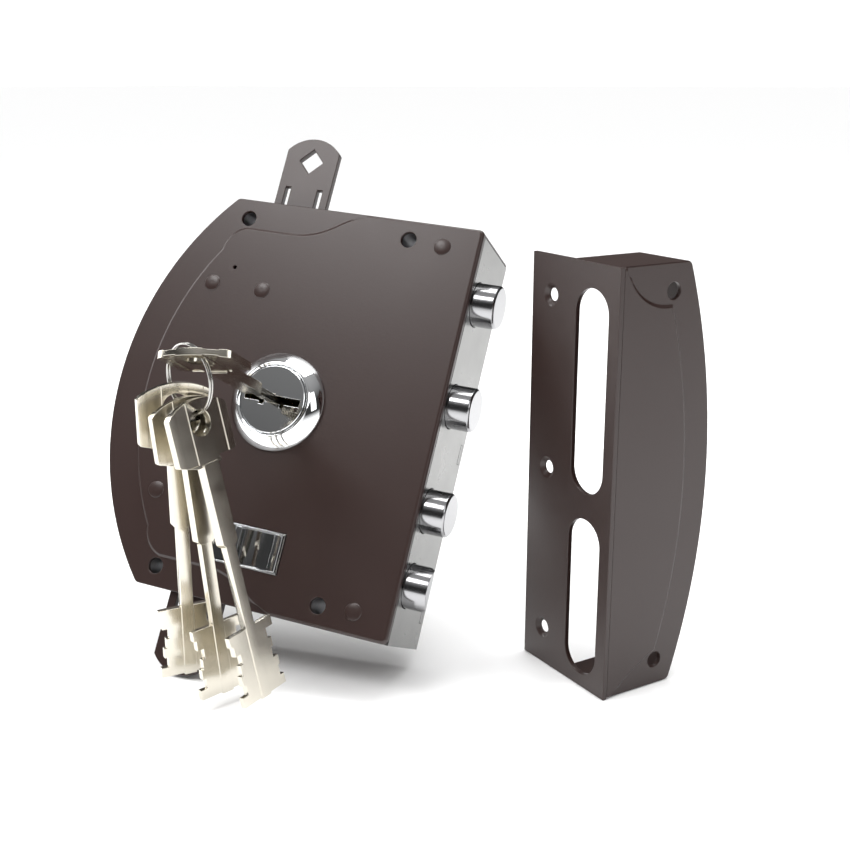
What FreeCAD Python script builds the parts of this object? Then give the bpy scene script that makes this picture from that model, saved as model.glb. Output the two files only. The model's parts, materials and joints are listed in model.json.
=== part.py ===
import FreeCAD, Part
import math
import os
import Sketcher
from FreeCAD import Vector

# Surface mounted security lock: three round deadbolts, a spring latch, two rod lugs, a double-bit key
# and the keeper that stands beside it.
#
# The lock has its own axes: across (towards the bolts), up, and level (out of the door, towards the user).
# Its origin is the key axis where it meets the door, and it lies reclined and rolled in the row frame.
# Lengths are in millimetres, angles in degrees. The sizes below fill the spreadsheet named Sizes.
SIZES = {
    # how the set lies on the table
    "recline": 27.0,
    "lock_roll": 5.3,
    "keeper_yaw": 50.0,
    "keeper_across": 141.3,
    "keeper_near": -48.2,
    # clearances
    "fit_gap": 0.2,
    "run_gap": 0.3,
    "play": 0.1,
    "cut_over": 1.0,
    # case
    "case_high": 170.0,
    "case_deep": 41.0,
    "backset": 70.0,
    "arc_left": 76.7,
    "corner_left": 43.0,
    "corner_round": 2.4,
    "sheet": 2.0,
    "edge_round": 1.6,
    "press": 0.8,
    "back_sheet": 2.0,
    "back_recess": 2.6,
    "lip": 3.0,
    "strip_thick": 2.0,
    "strip_slope": 5.0,
    "strip_tab_wide": 22.0,
    "strip_tab_high": 12.0,
    "tab_upper": -2.0,
    "tab_lower": -70.0,
    "tab_high": 8.0,
    # raised field of the cover
    "field_left": 62.0,
    "field_corner_across": 38.0,
    "field_corner_up": 71.5,
    "field_bend_end": 22.0,
    "field_bend_via": 9.0,
    "field_bend_drop": 3.2,
    "field_bend_mid": 5.0,
    "field_mid_drop": 8.0,
    "field_dip_via": 7.0,
    "field_dip_drop": 11.5,
    "field_dip_end": 15.0,
    "field_turn": 3.0,
    "field_turn_out": 2.2,
    "field_turn_end": 5.5,
    "field_turn_drop": 10.5,
    # fastening holes and rivets
    "fix_hole": 6.6,
    "fix_left": 35.8,
    "fix_right": 38.8,
    "fix_end": 8.5,
    "sleeve_wide": 10.0,
    "rivet_head": 7.2,
    "rivet_dome": 0.7,
    "rivet_shank": 3.6,
    "rivet_tail": 0.8,
    "strap_rivet_tail": 0.6,
    "strip_rivet_across": 53.9,
    "strip_rivet_up": 75.5,
    "strap_rivet_near": 20.5,
    "strap_rivet_far": 44.4,
    "strap_rivet_up": 45.8,
    "pin_hole": 1.6,
    "pin_hole_across": 35.9,
    "pin_hole_up": 53.9,
    # deadbolts and carrier
    "bolt_wide": 18.0,
    "bolt_level": 28.4,
    "bolt_top": 57.0,
    "bolt_pitch": 43.5,
    "latch_drop": 30.5,
    "bolt_out": 10.0,
    "bolt_long": 50.5,
    "bolt_chamfer": 0.8,
    "bolt_slot_deep": 12.0,
    "bolt_tab_high": 13.0,
    "bolt_pin": 4.0,
    "pin_half": 7.0,
    "carrier_thick": 3.0,
    "carrier_left": 38.0,
    "carrier_right": 30.5,
    "carrier_half": 56.0,
    "carrier_step": 8.0,
    "window_half": 12.8,
    "window_left": 32.8,
    "window_right": 22.8,
    "talon_count": 4.0,
    "talon_first": 5.0,
    "talon_pitch": 10.0,
    "talon_wide": 6.0,
    "talon_slope": 1.0,
    "talon_deep": 2.4,
    "throw_back": 10.0,
    "throw_on": 20.0,
    "lug_rate": 0.5,
    "post_across": 14.0,
    "post_up": 26.0,
    "post_wide": 8.0,
    "post_neck": 6.0,
    "post_cap": 1.0,
    "post_brim": 0.5,
    "stump_across": 20.0,
    "stump_up": 24.0,
    "stump_side": 6.0,
    "stump_low": 6.4,
    # rod lugs
    "lug_middle": 15.7,
    "lug_wide": 24.6,
    "lug_thick": 3.0,
    "lug_level": 33.6,
    "lug_reach": 117.0,
    "lug_inner": 30.0,
    "lug_end_drop": 6.0,
    "lug_square": 7.8,
    "lug_square_in": 10.4,
    "lug_slot_wide": 2.4,
    "lug_slot_out": 94.2,
    "lug_slot_in": 80.0,
    "lug_slot_apart": 15.0,
    "stud_across": 8.5,
    "stud_up": 40.0,
    "stud_wide": 5.0,
    "stud_neck": 3.4,
    "stud_low": 26.5,
    "strap_thick": 1.5,
    "strap_high": 9.0,
    "strap_end": 5.0,
    # latch and thumb slide
    "latch_long": 36.0,
    "latch_land": 4.0,
    "latch_bevel": 42.0,
    "tail_high": 7.0,
    "tail_thick": 3.0,
    "tail_left": 6.0,
    "stem_left": 8.0,
    "stem_wide": 7.6,
    "bracket_left": 20.0,
    "bracket_thick": 3.0,
    "bracket_half": 7.5,
    "bracket_foot": 12.0,
    "bracket_cut": 2.5,
    "spring_wide": 10.2,
    "spring_wire": 0.9,
    "spring_turns": 7.0,
    "thumb_left": -15.0,
    "thumb_right": 18.5,
    "thumb_high": 17.0,
    "thumb_wide": 21.4,
    "thumb_proud": 1.6,
    "thumb_wall": 0.8,
    "thumb_plate": 1.5,
    "thumb_band": 3.2,
    "slide_level": 37.3,
    "slide_end": 11.0,
    "slide_below": 2.0,
    "slide_above": 1.5,
    "grip_round": 0.6,
    "grip_side": 0.8,
    "grip_dish": 2.4,
    "grip_deep": 3.4,
    "bezel_proud": 0.4,
    # rosette and discs
    "rosette_wide": 41.4,
    "rosette_proud": 6.4,
    "rosette_lip": 29.2,
    "rosette_neck": 35.6,
    "rosette_seat": 32.6,
    "rosette_deep": 5.0,
    "nut_wide": 43.0,
    "nut_thick": 3.0,
    "nut_notch": 3.0,
    "nut_notch_deep": 2.5,
    "nut_notch_high": 1.5,
    "disc_wide": 28.8,
    "disc_flange": 32.0,
    "disc_thick": 3.0,
    "disc_seat": 1.4,
    "retainer_wide": 1.4,
    "retainer_thick": 2.5,
    "keyway_long": 24.8,
    "keyway_high": 3.2,
    "keyway_step": 2.2,
    "ward_near": 3.4,
    "ward_far": 5.6,
    "ward_side": 3.8,
    "ward_deep": 1.2,
    "ward_side_deep": 1.6,
    "ward_top": 0.6,
    "rear_disc_wide": 27.6,
    "rear_flange": 1.6,
    "rear_flange_thick": 1.0,
    "collar_wall": 2.0,
    "collar_lip": 0.4,
    # levers
    "lever_count": 4.0,
    "lever_thick": 1.6,
    "lever_pitch": 2.8,
    "lever_first": 16.2,
    "lever_lift": 3.0,
    "lever_left": 36.0,
    "lever_right": 20.0,
    "lever_high": 36.0,
    "lever_window": 15.5,
    "lever_window_side": 0.2,
    "gate_side": 0.7,
    "gate_play": 0.5,
    "spring_bar_up": 45.0,
    "bar_left": -14.0,
    "bar_long": 24.0,
    "bar_below": 1.0,
    "bar_above": 3.0,
    "leaf_thick": 0.4,
    "leaf_edge": 0.2,
    "leaf_end": -31.0,
    # double-bit keys
    "key_long": 117.5,
    "key_tip": 3.2,
    "tip_round": 0.6,
    "bit_half": 11.5,
    "bit_thick": 2.4,
    "bit_long": 28.5,
    "shaft_wide": 4.8,
    "shaft_thick": 3.0,
    "key_neck_start": 61.0,
    "neck_wide": 7.6,
    "neck_thick": 4.0,
    "neck_taper": 1.4,
    "bow_long": 25.0,
    "bow_wide": 29.0,
    "bow_thick": 2.8,
    "bow_shoulder": 12.0,
    "bow_foot": 2.4,
    "bow_corner": 1.2,
    "bow_arch": 3.6,
    "bow_hole": 10.0,
    "bow_hole_in": 9.0,
    "bow_twist": 10.0,
    # ring and hanging keys
    "ring_radius": 13.0,
    "ring_wire": 1.0,
    "ring_across": -6.2,
    "ring_in": 2.925,
    "ring_drop": 8.911,
    "ring_facing": -25.0,
    "hang_first": -41.0,
    "hang_step": 32.0,
    "hang_facing": 48.0,
    "hang_fan": 13.0,
    "hang_lean": 0.0,
    "hang_lean_step": 6.0,
    "hang_aside": 1.0,
    "hang_drop_1": 1.9,
    "hang_drop_2": 3.2,
    "hang_drop_3": 3.5,
    # keeper
    "keeper_high": 170.0,
    "keeper_deep": 52.3,
    "keeper_box": 28.5,
    "keeper_wide": 34.4,
    "keeper_bulge": 14.2,
    "keeper_sheet": 2.0,
    "keeper_press": 0.8,
    "keeper_dip_across": 13.5,
    "keeper_dip_top": 14.0,
    "keeper_dip_low": 9.0,
    "keeper_field_side": 9.0,
    "keeper_field_top": 16.5,
    "keeper_field_low": 15.5,
    "keeper_field_bulge": 1.2,
    "keeper_slot_wide": 19.0,
    "keeper_slot_near": 5.9,
    "keeper_slot_top": 160.5,
    "keeper_slot_low": 81.0,
    "keeper_slot2_top": 70.5,
    "keeper_slot2_low": 5.5,
    "keeper_fix": 5.0,
    "keeper_sink": 9.4,
    "keeper_sink_deep": 1.4,
    "keeper_fix_deep": 40.4,
    "keeper_fix_end": 15.5,
    "keeper_cover_hole": 6.6,
    "keeper_cover_across": 26.4,
    "keeper_cover_end": 10.6,
}

doc = FreeCAD.newDocument("DoorLock")
sheet = doc.addObject("Spreadsheet::Sheet", "Sizes")
for row, (alias, length) in enumerate(SIZES.items(), 1):
    sheet.set("A%d" % row, alias)
    sheet.set("B%d" % row, str(length))
    sheet.setAlias("B%d" % row, alias)
doc.recompute()


class Size:
    """A number together with the spreadsheet expression that gives it."""

    def __init__(self, value, text):
        self.value = value
        self.text = text

    def join(self, other, sign, value):
        right = other.text if isinstance(other, Size) else repr(float(other))
        return Size(value, "(%s %s %s)" % (self.text, sign, right))

    def __add__(self, other):
        return self.join(other, "+", self.value + number(other))

    def __sub__(self, other):
        return self.join(other, "-", self.value - number(other))

    def __mul__(self, other):
        return self.join(other, "*", self.value * number(other))

    def __truediv__(self, other):
        return self.join(other, "/", self.value / number(other))

    def __radd__(self, other):
        return as_size(other) + self

    def __rsub__(self, other):
        return as_size(other) - self

    def __rmul__(self, other):
        return as_size(other) * self

    def __neg__(self):
        return Size(-self.value, "(0 - %s)" % self.text)


class SizeNames:
    """Looks a size up in the spreadsheet by its alias."""

    def __getattr__(self, alias):
        return Size(float(SIZES[alias]), "Sizes." + alias)


def number(size):
    return size.value if isinstance(size, Size) else float(size)


def as_size(size):
    return size if isinstance(size, Size) else Size(float(size), repr(float(size)))


q = SizeNames()


def sine(angle):
    return Size(math.sin(math.radians(angle.value)), "sin(%s)" % angle.text)


def cosine(angle):
    return Size(math.cos(math.radians(angle.value)), "cos(%s)" % angle.text)


def bind(item, field, size):
    """Sets a field of a document object, and ties it to the spreadsheet if the size comes from there."""
    size = as_size(size)
    if "Sizes." in size.text:
        item.setExpression(field, size.text)
    else:
        item.setExpression(field, repr(size.value))


def placement_text(spot, turns):
    """The expression of a placement: a point, then turns as (yaw, pitch, roll), applied last to first."""
    vector = "create(<<vector>>; %s; %s; %s)" % tuple(as_size(size).text for size in spot)
    rotations = ["create(<<rotation>>; %s; %s; %s)" % tuple(as_size(size).text for size in turn)
                 for turn in turns]
    return "create(<<placement>>; %s; %s)" % (vector, " * ".join(rotations))


# Where the four groups of pieces stand in the row frame.
TABLE = -(q.lug_reach * cosine(q.lock_roll) * cosine(q.recline) - q.lug_level * sine(q.recline)
          - q.lug_middle * sine(q.lock_roll) * cosine(q.recline)) - q.fit_gap
LOCK = placement_text((0, 0, 0), [(0, 0, -q.recline), (0, q.lock_roll, 0)])
KEEPER = placement_text((q.keeper_across, q.keeper_near, TABLE), [(q.keeper_yaw, 0, 0)])

nodes = []


def new_body(label, place=LOCK):
    body = doc.addObject("PartDesign::Body", label)
    body.Label = label
    body.setExpression("Placement", place)
    nodes.append(body)
    return body


def new_sketch(body, role, spot=(0, 0, 0)):
    """A sketch on an origin plane of the body, moved by spot in the sketch's own axes."""
    sketch = body.newObject("Sketcher::SketchObject", body.Label + "_sketch")
    plane = [feature for feature in body.Origin.OriginFeatures if feature.Role == role][0]
    sketch.AttachmentSupport = [(plane, "")]
    sketch.MapMode = "FlatFace"
    for axis, size in zip("xyz", spot):
        if number(size) != 0 or isinstance(size, Size):
            bind(sketch, "AttachmentOffset.Base." + axis, size)
    return sketch


def pin_point(sketch, geometry, place, point):
    """Holds a point of the sketch at its distances from the sketch origin."""
    for kind, size in zip(("DistanceX", "DistanceY"), point):
        index = sketch.addConstraint(Sketcher.Constraint(kind, -1, 1, geometry, place, number(size)))
        if isinstance(size, Size):
            sketch.setExpression("Constraints[%d]" % index, size.text)


def flat(point):
    return Vector(number(point[0]), number(point[1]), 0)


def draw_circle(sketch, centre, wide):
    radius = number(wide) / 2
    index = sketch.addGeometry(Part.Circle(flat(centre), Vector(0, 0, 1), radius), False)
    pin_point(sketch, index, 3, centre)
    limit = sketch.addConstraint(Sketcher.Constraint("Diameter", index, number(wide)))
    if isinstance(wide, Size):
        sketch.setExpression("Constraints[%d]" % limit, wide.text)


def draw_arc(sketch, start, via, end):
    """An arc through three points; returns its index and which of its ends are the start and the end."""
    circle = Part.Arc(flat(start), flat(via), flat(end)).toShape().Curve
    centre = circle.Center
    first, last = [math.atan2(p.y - centre.y, p.x - centre.x) for p in (flat(start), flat(end))]
    turn = (flat(via) - flat(start)).cross(flat(end) - flat(via)).z
    if turn < 0:
        first, last = last, first
    arc = Part.ArcOfCircle(Part.Circle(centre, Vector(0, 0, 1), circle.Radius), first, last)
    index = sketch.addGeometry(arc, False)
    guide = sketch.addGeometry(Part.Point(flat(via)), True)
    pin_point(sketch, guide, 1, via)
    sketch.addConstraint(Sketcher.Constraint("PointOnObject", guide, 1, index))
    return (index, 1, 2) if turn > 0 else (index, 2, 1)


def draw_path(sketch, path):
    """A closed outline. Each entry is a point, or ("via", point) for the middle of an arc to the next point."""
    corners = [entry for entry in path if entry[0] != "via"]
    spans = []
    for entry in path:
        if entry[0] == "via":
            spans[-1] = entry[1]
        else:
            spans.append(None)
    edges = []
    for here, (start, via) in enumerate(zip(corners, spans)):
        end = corners[(here + 1) % len(corners)]
        if via is None:
            edges.append((sketch.addGeometry(Part.LineSegment(flat(start), flat(end)), False), 1, 2))
        else:
            edges.append(draw_arc(sketch, start, via, end))
    for here, (index, begin, finish) in enumerate(edges):
        after, after_begin, after_finish = edges[(here + 1) % len(edges)]
        sketch.addConstraint(Sketcher.Constraint("Coincident", index, finish, after, after_begin))
        pin_point(sketch, index, begin, corners[here])


def box_path(left, low, right, high):
    return [(left, low), (right, low), (right, high), (left, high)]


def draw_slot(sketch, first, last, wide):
    """A slot with round ends about two points."""
    start, end = flat(first), flat(last)
    along = (end - start).normalize()
    side = Vector(-along.y, along.x, 0) * (number(wide) / 2)
    heading = math.atan2(along.y, along.x)
    half = number(wide) / 2
    far = Part.ArcOfCircle(Part.Circle(end, Vector(0, 0, 1), half), heading - math.pi / 2,
                           heading + math.pi / 2)
    near = Part.ArcOfCircle(Part.Circle(start, Vector(0, 0, 1), half), heading + math.pi / 2,
                            heading + 1.5 * math.pi)
    left = Part.LineSegment(end + side, start + side)
    right = Part.LineSegment(start - side, end - side)
    index = [sketch.addGeometry(item, False) for item in (far, left, near, right)]
    for one, other in ((0, 1), (2, 3)):
        sketch.addConstraint(Sketcher.Constraint("Tangent", index[one], 2, index[other], 1))
        sketch.addConstraint(Sketcher.Constraint("Tangent", index[other], 2, index[(other + 1) % 4], 1))
    pin_point(sketch, index[0], 3, last)
    pin_point(sketch, index[2], 3, first)
    sketch.addConstraint(Sketcher.Constraint("Equal", index[0], index[2]))
    limit = sketch.addConstraint(Sketcher.Constraint("Radius", index[0], half))
    if isinstance(wide, Size):
        sketch.setExpression("Constraints[%d]" % limit, (wide / 2).text)


def draw_loops(sketch, loops):
    """Loops are ("circle", centre, wide), ("slot", first, last, wide) or ("path", outline)."""
    for loop in loops:
        if loop[0] == "circle":
            draw_circle(sketch, *loop[1:])
        elif loop[0] == "slot":
            draw_slot(sketch, *loop[1:])
        else:
            draw_path(sketch, loop[1])


def pad(body, low, high, *loops):
    """Adds a plate with the given outline and holes between two levels."""
    sketch = new_sketch(body, "XZ_Plane", (0, 0, low))
    draw_loops(sketch, loops)
    feature = body.newObject("PartDesign::Pad", body.Label + "_pad")
    feature.Profile = sketch
    bind(feature, "Length", high - low)
    return feature


def pocket(body, low, high, *loops):
    """Cuts the given loops out of the body between two levels."""
    sketch = new_sketch(body, "XZ_Plane", (0, 0, high))
    draw_loops(sketch, loops)
    feature = body.newObject("PartDesign::Pocket", body.Label + "_pocket")
    feature.Profile = sketch
    bind(feature, "Length", high - low)
    return feature


def plate(label, low, high, *loops, place=LOCK):
    body = new_body(label, place)
    pad(body, low, high, *loops)
    return body


def turn_up(body, centre, profile):
    """Adds a turned form about the level axis through centre. The profile's points are (radius, level)."""
    across, up = centre
    sketch = new_sketch(body, "XY_Plane", (across, 0, up))
    draw_path(sketch, level_path(profile))
    return revolve(body, sketch, "V_Axis")


def level_path(profile):
    """Turns outline points from (across, level) to the sketch's axes, where the level points down."""
    return [("via", (entry[1][0], -as_size(entry[1][1]))) if entry[0] == "via"
            else (entry[0], -as_size(entry[1])) for entry in profile]


def turn_along(body, level, up, profile):
    """Adds a turned form about an axis across the lock. The profile's points are (across, radius)."""
    sketch = new_sketch(body, "XY_Plane", (0, -level, up))
    draw_path(sketch, profile)
    return revolve(body, sketch, "H_Axis")


def revolve(body, sketch, axis):
    feature = body.newObject("PartDesign::Revolution", body.Label + "_turned")
    feature.Profile = sketch
    feature.ReferenceAxis = (sketch, [axis])
    feature.Angle = 360
    return feature


def pad_up(body, low, high, profile):
    """Adds a plate whose outline is (across, level), between two heights."""
    sketch = new_sketch(body, "XY_Plane", (0, 0, low))
    draw_path(sketch, level_path(profile))
    feature = body.newObject("PartDesign::Pad", body.Label + "_pad")
    feature.Profile = sketch
    bind(feature, "Length", high - low)
    return feature


def cut_up(body, low, high, *loops):
    """Cuts loops given as (across, level) out of the body between two heights."""
    sketch = new_sketch(body, "XY_Plane", (0, 0, high))
    draw_loops(sketch, [("path", level_path(loop[1])) if loop[0] == "path"
                        else ("circle", (loop[1][0], -as_size(loop[1][1])), loop[2]) for loop in loops])
    feature = body.newObject("PartDesign::Pocket", body.Label + "_pocket")
    feature.Profile = sketch
    bind(feature, "Length", high - low)
    return feature


def facing_side(loop):
    """Turns a loop given as (level, up) into one of a sketch that looks across the lock."""
    if loop[0] == "path":
        return ("path", [(-as_size(level), up) for level, up in loop[1]])
    points = [(-as_size(level), up) for level, up in loop[1:-1]]
    return (loop[0], *points, loop[-1])


def cut_along(body, left, right, *loops):
    """Cuts loops given as (level, up) out of the body between two places across."""
    sketch = new_sketch(body, "YZ_Plane", (0, 0, right))
    draw_loops(sketch, [facing_side(loop) for loop in loops])
    feature = body.newObject("PartDesign::Pocket", body.Label + "_pocket")
    feature.Profile = sketch
    bind(feature, "Length", right - left)
    return feature


def pad_along(body, left, right, *loops):
    """Adds a plate whose outline is (level, up), between two places across."""
    sketch = new_sketch(body, "YZ_Plane", (0, 0, left))
    draw_loops(sketch, [facing_side(loop) for loop in loops])
    feature = body.newObject("PartDesign::Pad", body.Label + "_pad")
    feature.Profile = sketch
    bind(feature, "Length", right - left)
    return feature


def round_edges(body, feature, radius, chosen):
    """Rounds the edges of a feature that the test chosen(edge) picks."""
    doc.recompute()
    names = ["Edge%d" % (index + 1) for index, edge in enumerate(feature.Shape.Edges) if chosen(edge)]
    rounded = body.newObject("PartDesign::Fillet", body.Label + "_round")
    rounded.Base = (feature, names)
    bind(rounded, "Radius", radius)
    return rounded


def at_level(edge, level):
    """True for an edge that lies in the plane of one level."""
    return all(abs(-vertex.Point.y - number(level)) < 0.01 for vertex in edge.Vertexes) \
        and abs(-edge.CenterOfMass.y - number(level)) < 0.01


def along_level(edge):
    """True for a straight edge that runs square to the door."""
    ends = [vertex.Point for vertex in edge.Vertexes]
    return len(ends) == 2 and math.hypot(ends[0].x - ends[1].x, ends[0].z - ends[1].z) < 0.01


def mirrored(path):
    """The lower half of a lock outline from its upper half."""
    return [("via", (entry[1][0], -as_size(entry[1][1]))) if entry[0] == "via"
            else (entry[0], -as_size(entry[1])) for entry in reversed(path)]


# Levels of the case, measured out of the door.
FACE = q.case_deep
BORDER = FACE - q.press
UNDER_BORDER = BORDER - q.sheet
UNDER_FIELD = FACE - q.sheet
BACK_LOW = q.back_recess
BACK_HIGH = q.back_recess + q.back_sheet
HALF_HIGH = q.case_high / 2
FIX_UP = HALF_HIGH - q.fix_end
SLEEVE_SPOTS = [(-q.fix_left, FIX_UP), (q.fix_right, FIX_UP), (-q.fix_left, -FIX_UP), (q.fix_right, -FIX_UP)]
BOLT_UPS = [q.bolt_top - q.bolt_pitch * index for index in range(3)]
LATCH_UP = BOLT_UPS[2] - q.latch_drop
STRIP_LEFT = q.backset - q.strip_thick
STRIP_RIVETS = [(q.strip_rivet_across, side * q.strip_rivet_up) for side in (1, -1)]
STRAP_RIVETS = [(-across, side * q.strap_rivet_up) for across in (q.strap_rivet_near, q.strap_rivet_far)
                for side in (1, -1)]


def case_outline(inset, right):
    """The case seen from the front, drawn in by inset, with its right edge at right."""
    top = HALF_HIGH - inset
    corner = -q.corner_left + inset / 2
    return [(right, -top), (right, top), (corner, top), ("via", (-q.arc_left + inset, 0)), (corner, -top)]


def field_outline(top):
    """The raised field of the cover: two bends at the upper and lower edge, and a long arc on the left."""
    upper = [(q.field_bend_end, top),
             ("via", (q.field_bend_end - q.field_bend_via, HALF_HIGH - q.field_bend_drop)),
             (q.field_bend_mid, HALF_HIGH - q.field_mid_drop),
             ("via", (q.field_bend_mid - q.field_dip_via, HALF_HIGH - q.field_dip_drop)),
             (q.field_bend_mid - q.field_dip_end, q.field_corner_up),
             (-q.field_corner_across + q.field_turn, q.field_corner_up),
             ("via", (-q.field_corner_across - q.field_turn_out, q.field_corner_up - q.field_turn)),
             (-q.field_corner_across - q.field_turn_end, q.field_corner_up - q.field_turn_drop)]
    return upper + [("via", (-q.field_left, 0))] + mirrored(upper)


def make_case():
    cover = new_body("front_cover")
    shell = pad(cover, 0, FACE, ("path", case_outline(0, q.backset)))
    shell = round_edges(cover, shell, q.corner_round, along_level)
    round_edges(cover, shell, q.edge_round, lambda edge: at_level(edge, FACE))
    top = HALF_HIGH + q.cut_over / 2
    reach = HALF_HIGH + q.cut_over * 6
    far = -q.arc_left - q.cut_over * 6
    border = field_outline(top) + [(q.field_bend_end, -reach), (far, -reach), (far, reach),
                                   (q.field_bend_end, reach)]
    pocket(cover, BORDER, FACE + 1, ("path", border))
    pocket(cover, 0, UNDER_BORDER, ("path", case_outline(q.sheet, STRIP_LEFT)))
    pocket(cover, UNDER_BORDER - 1, UNDER_FIELD, ("path", inner_field()))
    cut_along(cover, STRIP_LEFT - 1, q.backset + 1,
              ("path", [(-1, -HALF_HIGH - 1), (-1, HALF_HIGH - q.sheet),
                        (FACE - q.lip, HALF_HIGH - q.sheet), (FACE - q.lip, -HALF_HIGH - 1)]))
    holes = [("circle", spot, q.fix_hole) for spot in SLEEVE_SPOTS]
    holes += [("circle", spot, q.rivet_shank + q.play) for spot in STRIP_RIVETS + STRAP_RIVETS]
    holes += [("circle", (-q.pin_hole_across, q.pin_hole_up), q.pin_hole),
              ("circle", (0, 0), q.rosette_neck + q.fit_gap),
              ("path", window_path(0))]
    pocket(cover, UNDER_BORDER - 3, FACE + 1, *holes)
    slot_left = -q.lug_middle - q.lug_wide / 2 - q.run_gap
    slot_right = -q.lug_middle + q.lug_wide / 2 + q.run_gap
    for low, high in ((HALF_HIGH - q.sheet - 1, HALF_HIGH + 1), (-HALF_HIGH - 1, -HALF_HIGH + q.sheet + 1)):
        cut_up(cover, low, high,
               ("path", box_path(slot_left, q.lug_level - q.run_gap, slot_right,
                                 q.lug_level + q.lug_thick + q.run_gap)))

    back = plate("back_plate", BACK_LOW, BACK_HIGH,
                 ("path", case_outline(q.sheet + q.fit_gap, STRIP_LEFT - q.fit_gap)),
                 ("circle", (0, 0), q.rear_disc_wide + q.run_gap * 2),
                 *[("circle", spot, q.fix_hole) for spot in SLEEVE_SPOTS])
    for up in (q.tab_upper, q.tab_lower):
        pad(back, BACK_LOW, BACK_HIGH,
            ("path", box_path(STRIP_LEFT - 1, up - q.tab_high / 2, q.backset, up + q.tab_high / 2)))

    strip = new_body("bolt_guide_plate")
    top = HALF_HIGH - q.sheet - q.fit_gap
    pad_along(strip, STRIP_LEFT, q.backset,
              ("path", [(0, -HALF_HIGH), (0, top - q.strip_slope), (FACE - q.lip - q.fit_gap, top),
                        (FACE - q.lip - q.fit_gap, -HALF_HIGH)]))
    bores = [("circle", (q.bolt_level, up), q.bolt_wide + q.run_gap * 2) for up in BOLT_UPS + [LATCH_UP]]
    slots = [("path", box_path(BACK_LOW - q.fit_gap, up - q.tab_high / 2 - q.fit_gap,
                               BACK_HIGH + q.fit_gap, up + q.tab_high / 2 + q.fit_gap))
             for up in (q.tab_upper, q.tab_lower)]
    cut_along(strip, STRIP_LEFT - 1, q.backset + 1, *(bores + slots))
    tab_high = UNDER_BORDER - q.fit_gap
    for side in (1, -1):
        up = side * q.strip_rivet_up
        pad(strip, tab_high - q.strip_thick, tab_high,
            ("path", box_path(q.backset - q.strip_tab_wide, up - q.strip_tab_high / 2, q.backset - 1,
                              up + q.strip_tab_high / 2)),
            ("circle", (q.strip_rivet_across, up), q.rivet_shank + q.play))

    for index, spot in enumerate(SLEEVE_SPOTS):
        level = UNDER_FIELD if index % 2 else UNDER_BORDER
        plate("mounting_sleeve_%d" % (index + 1), BACK_HIGH, level,
              ("circle", spot, q.sleeve_wide), ("circle", spot, q.fix_hole))


def inner_field():
    """The underside of the raised field, kept one sheet inside the case walls."""
    edge = q.field_bend_end + q.sheet
    right = STRIP_LEFT
    top = HALF_HIGH - q.sheet
    step = q.sheet / 2
    upper = [(right, top), (edge, top), (q.field_bend_mid + step, q.field_corner_up + step),
             (q.field_bend_mid - q.field_dip_end + step, q.field_corner_up - step),
             (-q.field_corner_across + q.field_turn + step, q.field_corner_up - step),
             (-q.field_corner_across - q.field_turn_end + step, q.field_corner_up - q.field_turn_drop - step)]
    return upper + [("via", (-q.field_left + step, 0))] + mirrored(upper)


def rivets(label, spots, foot):
    """Domed rivets through the cover; foot is the level where the shank ends."""
    body = new_body(label)
    for spot in spots:
        across, up = spot
        head = q.rivet_head / 2
        turn_up(body, spot, [(0, foot), (q.rivet_shank / 2, foot), (q.rivet_shank / 2, FACE),
                             (head, FACE), (head - 0.3, FACE + q.rivet_dome / 2),
                             ("via", (head / 2, FACE + q.rivet_dome * 0.92)), (0, FACE + q.rivet_dome)])
    return body


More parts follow.
